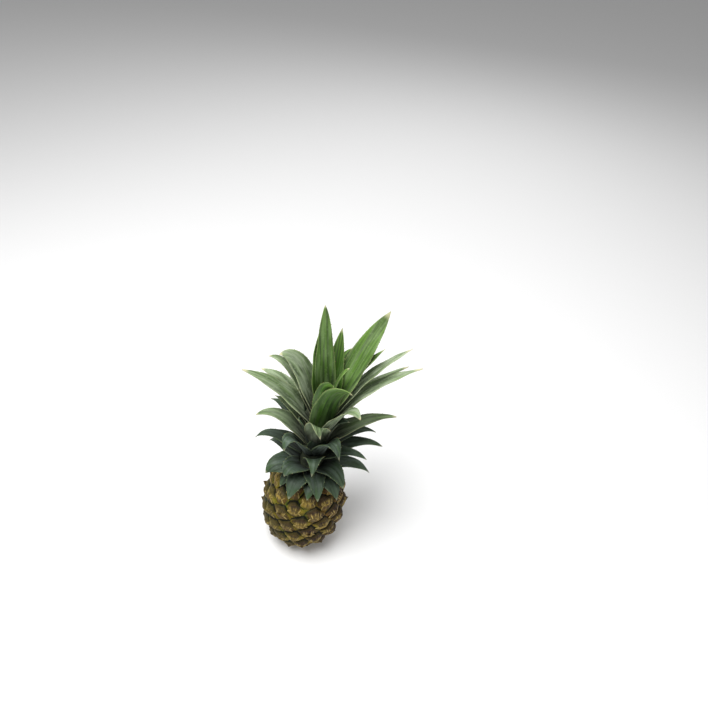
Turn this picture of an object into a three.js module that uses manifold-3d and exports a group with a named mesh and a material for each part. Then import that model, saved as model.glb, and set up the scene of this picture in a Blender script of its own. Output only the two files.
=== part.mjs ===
// A small whole pineapple, standing on its cut base: the fruit with its raised eyes, the stub of its
// stalk, and the leafy crown. Millimetres, +Z up, origin at the middle of the flat base.
// Azimuth 0 is the front (-Y) and 90 the right (+X).
import * as THREE from "three";
import { ConvexHull } from "three/addons/math/ConvexHull.js";
import { mergeVertices } from "three/addons/utils/BufferGeometryUtils.js";
import Module from "manifold-3d";

const wasm = await Module();
wasm.setup();

// Driving dimensions of the fruit
const FRUIT_RADIUS = 38.8; // at the bottom of the grooves between the eyes
const FRUIT_HEIGHT = 98.3;
const BASE_CUT = 3; // how much of the full barrel is missing below the flat base
const SEAT_CUT = 2.2; // and above the flat seat of the crown
const BARREL_POWER = 2.25; // 2 is an ellipsoid, higher is more like a barrel
const FRUIT_LEAN = 0.07; // sideways per unit of height
const EYES = 86;
const GOLDEN_ANGLE = 137.508;
const EYE_PHASE = 135; // turns the whole spiral of eyes, degrees
const EYE_START_RADIUS = 17; // eyes begin outside this radius at the base
const EYE_END_RADIUS = 13; // and stop at this radius under the crown
const EYE_RISE = 2.8; // flat of an eye over its grooves
const BRACT_RISE = 4.4; // pointed tip of the small leaf on each eye
const BRACT_LIFT = 3.6; // how far that point reaches up the fruit from the eye's middle

// Driving dimensions of the stalk
const STALK_RADIUS = 10.5;
const STALK_DEPTH = 7;
const STALK_BEVEL = 2;
const STALK_SIDES = 20;

// Driving dimensions of the crown. Heights on it are over its collar, where the first leaves grow
const CROWN_SHIFT = 8.4; // the collar's middle, to the right of the origin
const CROWN_LEAN = 0.15; // sideways per unit of height
const COLLAR = 2.2; // bare foot of the stem
const STEM_PROFILE = [[-COLLAR, 11.5], [40, 11.5], [70, 9], [95, 5], [108, 1.5]]; // height, radius
const STEM_TIP = 109;
const STEM_SIDES = 14;
const ROOT_DEPTH = 1; // how deep a leaf's midrib starts inside the stem
const MIDRIB_THICKNESS = 1.7;
const EDGE_THICKNESS = 0.7;
const SECTION_STEP = 11; // length of blade between two sections
const OPEN_GUTTER = 0.42; // half angle of a leaf's channel away from the stem, radians
const SHOULDER_GUTTER = 0.2; // and of the flatter ones that lie over the fruit's shoulder
const CLASPING_GUTTER = 1.15; // and at most where a leaf clasps the stem
const CLASP = 0.22; // share of the leaf's length over which the channel opens
const TURNED_BY = 0.6; // and over which the blade turns about its midrib
const LEAF_OVER_FRUIT = 6.2; // the lowest leaves lie this far over the grooves of the fruit

// Between pieces that touch, the finest step that a cut may leave, and the depth of a cut
const GAP = 0.3;
const FINEST = 0.01;
const SLAB_DEPTH = 20;

// The crown's leaves, each as
// [root height, root azimuth, rise in degrees, arm, tip azimuth, tip reach, tip height, width, fullness,
//  turn in degrees]
// The blade leaves the stem at the rise angle, aims along its arm, and bends over to its tip.
// The reach is from the crown's leaning axis. A fuller leaf keeps its width nearer to its tip.
const SHOULDER_RING = [
  [1, 308, 25, 20, 312, 34, -4, 20, 2.0, 0],
  [1, 8, 25, 24, 3, 36, -4, 17, 2.4, 0],
  [4, 338, 40, 28, 338, 41, -2, 28, 2.2, 0],
  [5, 18, 40, 28, 17, 41, -1, 22, 2.4, 0],
  [3, 45, 30, 30, 42, 45, -4, 26, 2.2, 0],
  [5, 292, 44, 33, 293, 45, 8, 30, 2.2, 16],
  [10, 322, 52, 34, 320, 37, 19, 26, 2.2, 8],
  [10, 48, 50, 38, 53, 43, 4, 26, 2.6, 0],
  [9, 86, 25, 38, 84, 58, 6, 20, 1.8, 0],
  [2, 215, 30, 26, 212, 42, 0, 24, 2.0, 0],
  [3, 128, 30, 26, 130, 43, 0, 24, 2.0, 0],
  [6, 172, 40, 28, 170, 44, 4, 25, 2.0, 0],
  [10, 244, 40, 32, 242, 50, 8, 25, 2.0, 0],
];
const SECOND_RING = [
  [18, 10, 64, 53, 0, 41, 38, 22, 1.9, 0],
  [21, 68, 50, 42, 77, 51, 32, 21, 1.6, 0],
  [23, 258, 38, 42, 260, 59, 26, 19, 1.7, 0],
  [29, 316, 68, 62, 317, 42, 57.5, 22, 1.9, 0],
  [30, 32, 68, 69, 32, 40, 54.5, 23, 2.0, -8],
  [23, 98, 35, 42, 97, 65, 30, 20, 1.8, 0],
  [29, 112, 38, 40, 108, 59, 38, 19, 1.7, 0],
  [39, 262, 60, 50, 266, 61, 64, 22, 1.9, 0],
  [39, 104, 42, 48, 105, 73, 61, 22, 2.0, 0],
  [45, 2, 70, 78, 359, 38, 85.5, 23, 1.9, 16],
  [17, 198, 45, 36, 200, 54, 20, 21, 1.6, 0],
  [19, 148, 42, 38, 146, 58, 20, 20, 1.6, 0],
  [33, 228, 50, 44, 230, 66, 48, 20, 1.7, 0],
  [35, 172, 50, 46, 174, 68, 52, 20, 1.7, 0],
];
const SHEATH_LEAVES = [
  [33, 12, 84, 26, 10, 17, 66, 20, 2.4, 0],
  [44, 300, 80, 36, 298, 24, 78, 18, 2.2, 0],
  [46, 70, 78, 36, 66, 26, 80, 18, 2.2, 0],
  [50, 110, 76, 36, 112, 28, 86, 18, 2.2, 0],
  [52, 155, 78, 40, 158, 26, 92, 18, 2.2, 0],
  [54, 232, 78, 40, 230, 26, 96, 18, 2.2, 0],
];
const LONG_LEAVES = [
  [56, 46, 68, 76, 40, 44, 108.5, 19, 1.9, 0],
  [53, 262, 62, 38, 258, 48, 86, 18, 1.8, 0],
  [63, 258, 62, 48, 267, 79, 120, 22, 2.6, 8],
  [57, 240, 64, 54, 249, 68, 104, 20, 2.6, 10],
  [69, 250, 72, 72, 264, 58, 136, 15, 2.2, 10],
  [73, 240, 78, 74, 266, 49, 141, 25, 2.8, 20],
  [65, 108, 56, 50, 101, 78, 128, 22, 2.6, 8],
  [59, 122, 52, 50, 119, 80, 108, 16, 2.2, 0],
  [69, 112, 62, 52, 107, 66, 146, 20, 2.4, 10],
  [43, 138, 52, 48, 138, 76, 68, 19, 2.0, 0],
  [47, 205, 56, 50, 208, 74, 78, 18, 2.0, 0],
  [61, 172, 60, 50, 174, 72, 92, 18, 2.2, 0],
  [67, 214, 64, 52, 214, 60, 104, 18, 2.2, 0],
];
const HEART_LEAVES = [
  [52, 18, 84, 86, 36, 30, 127, 26, 2.8, 10],
  [66, 345, 86, 74, 20, 10, 118, 15, 2.2, 0],
  [73, 116, 66, 52, 111, 42, 147, 16, 2.4, 10],
  [75, 118, 70, 62, 128, 46, 177, 26, 4, -30],
  [72, 160, 72, 52, 158, 38, 128, 20, 2.2, 0],
  [78, 150, 80, 50, 181, 25, 158, 23, 2.2, -30],
  [80, 228, 84, 70, 229, 24, 160, 21, 1.9, 0],
  [82, 192, 86, 90, 231, 25, 187, 22, 1.7, 0],
  [84, 290, 86, 30, 290, 8, 117, 12, 2.0, 0],
  [88, 92, 86, 36, 96, 12, 134, 14, 2.0, 0],
  [94, 40, 88, 22, 20, 6, 118, 10, 2.0, 0],
];

const UPPER_LEAVES = [...SECOND_RING, ...SHEATH_LEAVES, ...LONG_LEAVES, ...HEART_LEAVES];

const RAD = Math.PI / 180;
const UP = new THREE.Vector3(0, 0, 1);
const { clamp, lerp, smoothstep } = THREE.MathUtils;
const outward = (azimuth) => new THREE.Vector3(Math.sin(azimuth * RAD), -Math.cos(azimuth * RAD), 0);

// A closed geometry becomes a solid, and a solid a mesh with its material
function solidOf(geometry) {
  const bare = geometry.clone();
  bare.deleteAttribute("normal");
  bare.deleteAttribute("uv");
  const merged = mergeVertices(bare, 1e-3);
  return new wasm.Manifold(
    new wasm.Mesh({
      numProp: 3,
      vertProperties: new Float32Array(merged.attributes.position.array),
      triVerts: new Uint32Array(merged.index.array),
    }),
  );
}

function meshOf(name, solid, material) {
  const { vertProperties, triVerts } = solid.simplify(FINEST).getMesh();
  const geometry = new THREE.BufferGeometry();
  geometry.setAttribute("position", new THREE.BufferAttribute(vertProperties, 3));
  geometry.setIndex(new THREE.BufferAttribute(triVerts, 1));
  geometry.computeVertexNormals();
  const mesh = new THREE.Mesh(geometry, material);
  mesh.name = name;
  return mesh;
}

// A profile of [radius, height] turned about the Z axis
function turned(profile, sides) {
  const points = profile.map(([radius, height]) => new THREE.Vector2(radius, height));
  return new THREE.LatheGeometry(points, sides).rotateX(Math.PI / 2);
}

// The fruit's barrel, measured in many small steps from its lower pole to its upper one. Each step has
// its radius and height, the area of skin below it, and its height on a sphere that keeps all angles
const BARREL_HALF = (FRUIT_HEIGHT + BASE_CUT + SEAT_CUT) / 2;
const BARREL_MIDDLE = BARREL_HALF - BASE_CUT;
const BARREL_STEPS = 2000;

function barrelPoint(step) {
  const angle = ((step + 0.5) / BARREL_STEPS - 0.5) * Math.PI;
  const power = 2 / BARREL_POWER;
  const radius = FRUIT_RADIUS * Math.cos(angle) ** power;
  const height = BARREL_MIDDLE + BARREL_HALF * Math.sign(angle) * Math.abs(Math.sin(angle)) ** power;
  return { radius, height };
}

function measureBarrel() {
  const steps = [];
  let area = 0;
  let stretch = 0;
  let before = barrelPoint(0);
  for (let k = 1; k < BARREL_STEPS; k++) {
    const here = barrelPoint(k);
    const arc = Math.hypot(here.radius - before.radius, here.height - before.height);
    const radius = (here.radius + before.radius) / 2;
    area += 2 * Math.PI * radius * arc;
    stretch += arc / radius;
    steps.push({ ...here, area, stretch });
    before = here;
  }
  const waist = steps.find((step) => step.height >= BARREL_MIDDLE).stretch;
  return steps.map((step) => ({ ...step, sphere: Math.tanh(step.stretch - waist) }));
}

const BARREL = measureBarrel();
const LOWER_POLE = BARREL[0];
const UPPER_POLE = BARREL[BARREL.length - 1];
const stepAt = (key, value) => BARREL.find((step) => step[key] >= value) ?? UPPER_POLE;

// A place on the fruit is an azimuth and a step of the barrel. It has a point on the sphere, where
// the net of eyes is worked out, and a point on the fruit, raised along its skin's normal and up it
function onSphere({ azimuth, step }) {
  return outward(azimuth).multiplyScalar(Math.sqrt(1 - step.sphere ** 2)).setZ(step.sphere);
}

function fromSphere(point) {
  const unit = point.clone().normalize();
  return { azimuth: Math.atan2(unit.x, -unit.y) / RAD, step: stepAt("sphere", unit.z) };
}

function onFruit({ azimuth, step }, rise = 0, lift = 0) {
  const side = (step.height - BARREL_MIDDLE) / BARREL_HALF;
  const steep = (Math.sign(side) * Math.abs(side) ** (BARREL_POWER - 1)) / BARREL_HALF;
  const flat = (step.radius / FRUIT_RADIUS) ** (BARREL_POWER - 1) / FRUIT_RADIUS;
  const normal = outward(azimuth).multiplyScalar(flat).setZ(steep).normalize();
  const uphill = UP.clone().addScaledVector(normal, -normal.z).normalize();
  const point = outward(azimuth).multiplyScalar(step.radius).setZ(step.height);
  point.addScaledVector(normal, rise).addScaledVector(uphill, lift);
  point.x += FRUIT_LEAN * point.z;
  return point;
}

// Eyes stand on one golden-angle spiral, each with the same area of skin
function eyePlaces() {
  const first = stepAt("radius", EYE_START_RADIUS).area;
  const last = BARREL.findLast((step) => step.radius >= EYE_END_RADIUS).area;
  return Array.from({ length: EYES }, (_, k) => ({
    azimuth: EYE_PHASE + k * GOLDEN_ANGLE,
    step: stepAt("area", lerp(first, last, (k + 0.5) / EYES)),
  }));
}

// The triangles that join points on a sphere, each as three of those points with their indices
function facesOf(points) {
  const marked = points.map((point, index) => Object.assign(point.clone(), { index }));
  return new ConvexHull().setFromPoints(marked).faces.map(({ edge }) => [
    edge.head().point,
    edge.next.head().point,
    edge.next.next.head().point,
  ]);
}

// Each eye is a low boss with grooves where it meets its neighbours. Between its pointed middle and
// each of its corners it has a flat and a shoulder
const EYE_RINGS = [
  { toCorner: 0.8, rise: 0.75 * EYE_RISE },
  { toCorner: 0.45, rise: EYE_RISE },
];

function fruitSolid() {
  const eyes = eyePlaces();
  const poles = [LOWER_POLE, UPPER_POLE].map((step) => ({ azimuth: 0, step }));
  const net = [];
  const skin = [];
  const put = (place, rise, lift) => {
    net.push(onSphere(place));
    skin.push(onFruit(place, rise, lift));
  };
  eyes.forEach((eye) => put(eye, BRACT_RISE, BRACT_LIFT));
  poles.forEach((pole) => put(pole));
  for (const [a, b, c] of facesOf([...net])) {
    const corner = new THREE.Vector3().crossVectors(b.clone().sub(a), c.clone().sub(a)).normalize();
    put(fromSphere(corner));
    for (const middle of [a, b, c].filter(({ index }) => index < EYES)) {
      EYE_RINGS.forEach(({ toCorner, rise }) => put(fromSphere(middle.clone().lerp(corner, toCorner)), rise));
    }
  }
  const triangles = facesOf(net).flatMap((corners) => corners.map(({ index }) => skin[index]));
  const barrel = solidOf(new THREE.BufferGeometry().setFromPoints(triangles));
  return barrel.subtract(slab(-SLAB_DEPTH)).subtract(slab(FRUIT_HEIGHT)).subtract(stalkSolid(GAP));
}

// A wide slab above the given height, which leaves a flat face where it cuts
function slab(height) {
  const box = new THREE.BoxGeometry(4 * FRUIT_RADIUS, 4 * FRUIT_RADIUS, SLAB_DEPTH);
  return solidOf(box.translate(0, 0, height + SLAB_DEPTH / 2));
}

// The stub of the stalk, flush with the fruit's base, or the socket for it, which is larger all round
function stalkSolid(larger = 0) {
  const rim = STALK_RADIUS + larger;
  const top = STALK_DEPTH + larger;
  const bevel = [[rim, top - STALK_BEVEL], [rim - STALK_BEVEL, top]];
  return solidOf(turned([[0, -larger], [rim, -larger], ...bevel, [0, top]], STALK_SIDES));
}

function crownAxis(height) {
  return new THREE.Vector3(CROWN_SHIFT + CROWN_LEAN * height, 0, FRUIT_HEIGHT + GAP + COLLAR + height);
}

function stemRadius(height) {
  const above = STEM_PROFILE.findIndex(([top]) => top > height);
  const [[low, wide], [high, narrow]] = STEM_PROFILE.slice(above - 1, above + 1);
  return lerp(wide, narrow, (height - low) / (high - low));
}

function stemSolid() {
  const outline = STEM_PROFILE.map(([height, radius]) => [radius, height]);
  const stem = turned([[0, -COLLAR], ...outline, [0, STEM_TIP]], STEM_SIDES);
  const lean = new THREE.Matrix4().makeShear(0, 0, 0, 0, CROWN_LEAN, 0);
  return solidOf(stem.applyMatrix4(lean.setPosition(crownAxis(0))));
}

// Moves a point out of the clearance over the fruit, so that the low leaves drape over its shoulder
function drape(point) {
  const x = point.x - FRUIT_LEAN * point.z;
  const flat = Math.hypot(x, point.y) / (FRUIT_RADIUS + LEAF_OVER_FRUIT);
  const tall = Math.abs(point.z - BARREL_MIDDLE) / (BARREL_HALF + LEAF_OVER_FRUIT);
  const inside = flat ** BARREL_POWER + tall ** BARREL_POWER;
  const collar = crownAxis(0);
  const byStem = Math.hypot(point.x - collar.x, point.y) < stemRadius(0) + ROOT_DEPTH;
  if (inside >= 1 || byStem) return point;
  const grow = inside ** (-1 / BARREL_POWER);
  const height = BARREL_MIDDLE + (point.z - BARREL_MIDDLE) * grow;
  return point.set(x * grow + FRUIT_LEAN * height, point.y * grow, height);
}

// One leaf: a blade with a channel along it, lofted through sections of six points
function leafSolid([up, azimuth, rise, arm, tipAzimuth, reach, tipHeight, width, fullness, turn], openGutter) {
  const out = outward(azimuth);
  const root = crownAxis(up).addScaledVector(out, stemRadius(up) - ROOT_DEPTH);
  const slope = out.clone().multiplyScalar(Math.cos(rise * RAD)).setZ(Math.sin(rise * RAD));
  const tip = crownAxis(tipHeight).addScaledVector(outward(tipAzimuth), reach);
  const midrib = new THREE.QuadraticBezierCurve3(root, root.clone().addScaledVector(slope, arm), tip);
  const count = clamp(Math.round(midrib.getLength() / SECTION_STEP), 4, 9);
  const clasping = Math.min(CLASPING_GUTTER, width / 2 / stemRadius(up));
  const level = new THREE.Vector3().crossVectors(out, UP);
  const sections = [];
  for (let k = 0; k < count; k++) {
    const t = k / count;
    const middle = midrib.getPoint(t);
    const along = midrib.getTangent(t);
    level.addScaledVector(along, -level.dot(along)).normalize();
    const across = level.clone().applyAxisAngle(along, -turn * RAD * smoothstep(t, 0, TURNED_BY));
    const inward = new THREE.Vector3().crossVectors(across, along);
    const neck = 0.86 + 0.14 * Math.sin(Math.PI * Math.min(1, t / 0.45));
    const gutter = lerp(openGutter, clasping, Math.exp(-((t / CLASP) ** 1.5)));
    const bend = ((width / 2) * (1 - t ** fullness) * neck) / gutter; // radius of the channel
    const midThickness = lerp(MIDRIB_THICKNESS, EDGE_THICKNESS, t);
    const point = (side, face) => {
      const radius = bend - (face * (side === 0 ? midThickness : EDGE_THICKNESS)) / 2;
      const place = middle.clone().addScaledVector(across, radius * Math.sin(gutter * side));
      return drape(place.addScaledVector(inward, bend - radius * Math.cos(gutter * side)));
    };
    sections.push([point(-1, 1), point(0, 1), point(1, 1), point(1, -1), point(0, -1), point(-1, -1)]);
  }
  return solidOf(loft(sections, drape(tip)));
}

// Skin over sections of equal size, closed flat at the first and to a point after the last. Both faces
// of a blade are split into triangles alike
function loft(sections, tip) {
  const size = sections[0].length;
  const last = sections[sections.length - 1];
  const corners = [];
  for (let j = 0; j < size; j++) {
    const next = (j + 1) % size;
    for (let k = 0; k + 1 < sections.length; k++) {
      const [a, b, c, d] = [sections[k][j], sections[k][next], sections[k + 1][next], sections[k + 1][j]];
      corners.push(...(j < size / 2 ? [a, b, c, a, c, d] : [a, b, d, b, c, d]));
    }
    corners.push(last[j], last[next], tip);
  }
  const [left, middle, right, rightBack, middleBack, leftBack] = sections[0];
  corners.push(left, middleBack, middle, left, leftBack, middleBack);
  corners.push(middle, rightBack, right, middle, middleBack, rightBack);
  return new THREE.BufferGeometry().setFromPoints(corners);
}

// Of what the join leaves, the largest body: the crown with its sealed hollows filled
function crownSolid() {
  const leaves = [
    ...SHOULDER_RING.map((leaf) => leafSolid(leaf, SHOULDER_GUTTER)),
    ...UPPER_LEAVES.map((leaf) => leafSolid(leaf, OPEN_GUTTER)),
  ];
  const joined = leaves.reduce((crown, leaf) => crown.add(leaf), stemSolid());
  return joined.decompose().reduce((a, b) => (b.volume() > a.volume() ? b : a));
}

const skinOlive = new THREE.MeshStandardMaterial({ color: 0x6b5a2e, roughness: 0.75, metalness: 0 });
const cutFibre = new THREE.MeshStandardMaterial({ color: 0xa58d63, roughness: 0.9, metalness: 0 });
const leafGreen = new THREE.MeshStandardMaterial({ color: 0x5b7c55, roughness: 0.55, metalness: 0 });

const pineapple = new THREE.Group();
pineapple.add(meshOf("fruit", fruitSolid(), skinOlive));
pineapple.add(meshOf("stalk", stalkSolid(), cutFibre));
pineapple.add(meshOf("crown", crownSolid(), leafGreen));
export default pineapple;
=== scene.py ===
# A small whole pineapple, standing on its cut base with its leafy crown on.
# Metres, +Z up. Azimuth 0 is the front (-Y) and 90 the right (+X), as on the model it is built round.
import math

import bpy
import numpy as np
from mathutils import Matrix, Vector


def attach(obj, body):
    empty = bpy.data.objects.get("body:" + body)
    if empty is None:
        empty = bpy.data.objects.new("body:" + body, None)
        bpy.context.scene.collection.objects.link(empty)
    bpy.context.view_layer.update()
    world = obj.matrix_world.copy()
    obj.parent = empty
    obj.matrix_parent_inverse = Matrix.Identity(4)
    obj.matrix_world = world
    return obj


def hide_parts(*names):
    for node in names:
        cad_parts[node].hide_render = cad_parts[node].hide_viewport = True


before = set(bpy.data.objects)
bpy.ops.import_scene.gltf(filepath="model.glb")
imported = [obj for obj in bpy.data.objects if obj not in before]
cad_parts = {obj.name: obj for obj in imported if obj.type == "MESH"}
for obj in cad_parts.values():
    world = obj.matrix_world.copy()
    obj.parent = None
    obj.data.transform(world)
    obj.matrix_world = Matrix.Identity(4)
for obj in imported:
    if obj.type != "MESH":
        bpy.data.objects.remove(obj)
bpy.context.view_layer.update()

# The view. The camera stands in front of the fruit and above it, looks down and is rolled a little.
# Its picture is square.
PICTURE_SIDE = 708
FOCAL_LENGTH = 620  # in the same pixels
SENSOR = 36
CAMERA_PLACE = Vector((0.0431, -0.3859, 0.5850))
CAMERA_PITCH = math.radians(40.8)
CAMERA_ROLL = math.radians(4.56)

camera_data = bpy.data.cameras.new("camera")
camera_data.sensor_width = SENSOR
camera_data.lens = SENSOR * FOCAL_LENGTH / PICTURE_SIDE
camera_data.clip_start = 0.01
camera = bpy.data.objects.new("camera", camera_data)
tilt = Matrix.Rotation(math.pi / 2 - CAMERA_PITCH, 4, "X")
roll = Matrix.Rotation(CAMERA_ROLL, 4, "Z")
camera.matrix_world = Matrix.Translation(CAMERA_PLACE) @ tilt @ roll
bpy.context.collection.objects.link(camera)
bpy.context.scene.camera = camera
bpy.context.scene.view_settings.view_transform = "Standard"

# Soft studio light: a large key lamp overhead, a little to the front left, weak ones on the right and
# behind, and an even room.
LIGHT_TARGET = Vector((0.01, 0, 0.12))
ROOM_BRIGHTNESS = 0.31


def soft_lamp(name, place, size, power):
    lamp = bpy.data.lights.new(name, "AREA")
    lamp.shape = "DISK"
    lamp.size = size
    lamp.energy = power
    holder = bpy.data.objects.new(name, lamp)
    holder.location = place
    holder.rotation_euler = (LIGHT_TARGET - Vector(place)).to_track_quat("-Z", "Y").to_euler()
    bpy.context.collection.objects.link(holder)


soft_lamp("key_lamp", (-0.3, -0.25, 1.35), 0.9, 24)
soft_lamp("fill_lamp", (1.0, -0.8, 0.7), 1.0, 3)
soft_lamp("back_lamp", (0.3, 1.2, 1.1), 0.8, 5)

room = bpy.data.worlds.new("room")
room.use_nodes = True
room.node_tree.nodes["Background"].inputs["Color"].default_value = (1, 1, 1, 1)
room.node_tree.nodes["Background"].inputs["Strength"].default_value = ROOM_BRIGHTNESS
bpy.context.scene.world = room


# The floor: a plain pale sheet that the fruit stands on.
FLOOR_HALF = 4.0
FLOOR_TONE = 0.82


def mesh_object(name, vertices, faces, smooth=True):
    mesh = bpy.data.meshes.new(name)
    mesh.from_pydata(np.asarray(vertices).tolist(), [], [list(map(int, face)) for face in faces])
    mesh.validate()
    if smooth:
        mesh.shade_smooth()
    else:
        mesh.shade_flat()
    made = bpy.data.objects.new(name, mesh)
    bpy.context.collection.objects.link(made)
    return made


def put(tree, kind, inputs=None, **settings):
    """Adds a node. Each input, by name or number, is a value or the socket that feeds it."""
    node = tree.nodes.new(kind)
    for key, value in settings.items():
        setattr(node, key, value)
    for key, value in (inputs or {}).items():
        if isinstance(value, bpy.types.NodeSocket):
            tree.links.new(value, node.inputs[key])
        else:
            node.inputs[key].default_value = value
    return node


def principled(name, **inputs):
    """A material with one Principled BSDF, and its tree."""
    material = bpy.data.materials.new(name)
    material.use_nodes = True
    shader = material.node_tree.nodes["Principled BSDF"]
    for key, value in inputs.items():
        shader.inputs[key.replace("_", " ")].default_value = value
    return material, material.node_tree, shader


floor_corners = [(x * FLOOR_HALF, y * FLOOR_HALF, 0) for x, y in ((-1, -1), (1, -1), (1, 1), (-1, 1))]
floor = mesh_object("floor", floor_corners, [(0, 1, 2, 3)], smooth=False)
floor_grey = (FLOOR_TONE, FLOOR_TONE, FLOOR_TONE, 1)
floor_paint, _, _ = principled("floor_paint", Base_Color=floor_grey, Roughness=0.9)
floor.data.materials.append(floor_paint)

# The fruit: many small fruits grown into one fleshy barrel. Each shows as an eye, a low boss with a
# groove round it, and the eyes stand on one golden-angle spiral. Its base is cut flat, with a socket
# round the stub of the stalk, and its top is a flat seat for the crown.
FRUIT_RADIUS = 0.0388  # at the bottom of the grooves
FRUIT_HEIGHT = 0.0983
BASE_CUT = 0.003
SEAT_CUT = 0.0022
BARREL_POWER = 2.25
FRUIT_LEAN = 0.07
EYES = 86
GOLDEN_ANGLE = math.radians(137.508)
EYE_PHASE = math.radians(135)
EYE_START_RADIUS = 0.017
EYE_END_RADIUS = 0.013
EYE_RISE = 0.0033
GROOVE_WIDTH = 0.0022
EYE_REACH = 0.0087  # from an eye's middle to about its edge
SHEER_FROM = 0.0055  # up or down from its middle, where its side falls all the way into the groove
BEAK_SIZE = 0.003
RIM_IN = 0.0021  # from the groove
RIM_WIDTH = 0.001
PAD_HALF_WIDTH = 0.0063
PAD_HALF_HEIGHT = 0.0055
PAD_UP = 0.0008  # from the eye's middle
PAD_SPREAD = 0.0085  # of the pad's own map, for each radian of its fan
FAN_FOOT = 0.0098  # below the eye's middle, where the pad's pleats run together
PLEAT_DEPTH = 0.00016
PIT_SIZE = 0.0009
PIT_UP = 0.0006
PIT_DEPTH = 0.0006
EDGE_WOBBLE = 0.0003  # of the line between two eyes
FINE_WAVES = 0.00012  # unevenness of the skin
BROAD_WAVES = 0.0002
GROOVE_SHADE_WIDTH = 0.0022  # over which the painted shade under a groove dies away
LOW_EYES = 0.45  # share of their rise that the lowest eyes keep, flattened where the fruit stands
STALK_RADIUS = 0.0105
STALK_DEPTH = 0.007
GAP = 0.0003
RIND_COLUMNS = 460
RIND_ROWS = 200

BARREL_HALF = (FRUIT_HEIGHT + BASE_CUT + SEAT_CUT) / 2
BARREL_MIDDLE = BARREL_HALF - BASE_CUT


def smooth(x):
    x = np.clip(x, 0, 1)
    return x * x * (3 - 2 * x)


def outward(azimuth):
    return np.stack([np.sin(azimuth), -np.cos(azimuth), np.zeros_like(azimuth)], -1)


def measure_barrel(count=4000):
    """Radius and height up the barrel, with the skin's area and length below, and the height on a
    sphere on which all angles are kept."""
    angle = ((np.arange(count) + 0.5) / count - 0.5) * np.pi
    power = 2 / BARREL_POWER
    radius = FRUIT_RADIUS * np.cos(angle) ** power
    height = BARREL_MIDDLE + BARREL_HALF * np.sign(angle) * np.abs(np.sin(angle)) ** power
    arc = np.hypot(np.diff(radius), np.diff(height))
    between = (radius[1:] + radius[:-1]) / 2
    area = np.cumsum(2 * np.pi * between * arc)
    stretch = np.cumsum(arc / between)
    waist = np.interp(BARREL_MIDDLE, height[1:], stretch)
    return {
        "radius": radius[1:], "height": height[1:], "area": area, "length": np.cumsum(arc),
        "sphere": np.tanh(stretch - waist),
    }


barrel = measure_barrel()


def read_barrel(key, value, wanted):
    return np.interp(value, barrel[key], barrel[wanted])


def on_sphere(azimuth, sphere):
    flat = np.sqrt(1 - sphere**2)
    return outward(azimuth) * flat[..., None] + np.stack([0 * flat, 0 * flat, sphere], -1)


def on_fruit(point, rise):
    """The place on the fruit of a point on the sphere, raised from the skin along its normal."""
    unit = point / np.linalg.norm(point, axis=-1, keepdims=True)
    azimuth = np.arctan2(unit[..., 0], -unit[..., 1])
    radius = read_barrel("sphere", unit[..., 2], "radius")
    height = read_barrel("sphere", unit[..., 2], "height")
    side = (height - BARREL_MIDDLE) / BARREL_HALF
    steep = np.sign(side) * np.abs(side) ** (BARREL_POWER - 1) / BARREL_HALF
    flat = (radius / FRUIT_RADIUS) ** (BARREL_POWER - 1) / FRUIT_RADIUS
    normal = outward(azimuth) * flat[..., None]
    normal[..., 2] = steep
    normal /= np.linalg.norm(normal, axis=-1, keepdims=True)
    place = outward(azimuth) * radius[..., None]
    place[..., 2] = height
    place = place + normal * rise[..., None]
    place[..., 0] += FRUIT_LEAN * place[..., 2]
    return place, normal


def eye_places():
    first = barrel["area"][np.argmax(barrel["radius"] >= EYE_START_RADIUS)]
    last = barrel["area"][np.nonzero(barrel["radius"] >= EYE_END_RADIUS)[0][-1]]
    number = np.arange(EYES)
    azimuth = EYE_PHASE + number * GOLDEN_ANGLE
    sphere = read_barrel("area", first + (last - first) * (number + 0.5) / EYES, "sphere")
    return azimuth, sphere


eye_azimuth, eye_sphere = eye_places()
eye_middle = on_sphere(eye_azimuth, eye_sphere)
eye_east = np.stack([np.cos(eye_azimuth), np.sin(eye_azimuth), 0 * eye_azimuth], -1)
eye_north = np.cross(eye_middle, eye_east)
eye_scale = read_barrel("sphere", eye_sphere, "radius") / np.sqrt(1 - eye_sphere**2)
eye_height = read_barrel("sphere", eye_sphere, "height")
eye_fullness = LOW_EYES + (1 - LOW_EYES) * smooth((eye_height - 0.003) / 0.024)


def eye_net(point):
    """For points on the sphere: the nearest eye, the way to the edge of its cell, and the way across
    and up from its middle."""
    towards = point @ eye_middle.T
    eye = np.argmax(towards, axis=1)
    spread = np.linalg.norm(eye_middle[eye][:, None] - eye_middle[None], axis=-1)
    rows = np.arange(len(point))
    spread[rows, eye] = 1
    edge = (towards[rows, eye][:, None] - towards) / spread
    edge[rows, eye] = 9
    scale = eye_scale[eye]
    across = np.einsum("ij,ij->i", point, eye_east[eye]) * scale
    up = np.einsum("ij,ij->i", point, eye_north[eye]) * scale
    return eye, edge.min(axis=1) * scale, across, up


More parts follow.
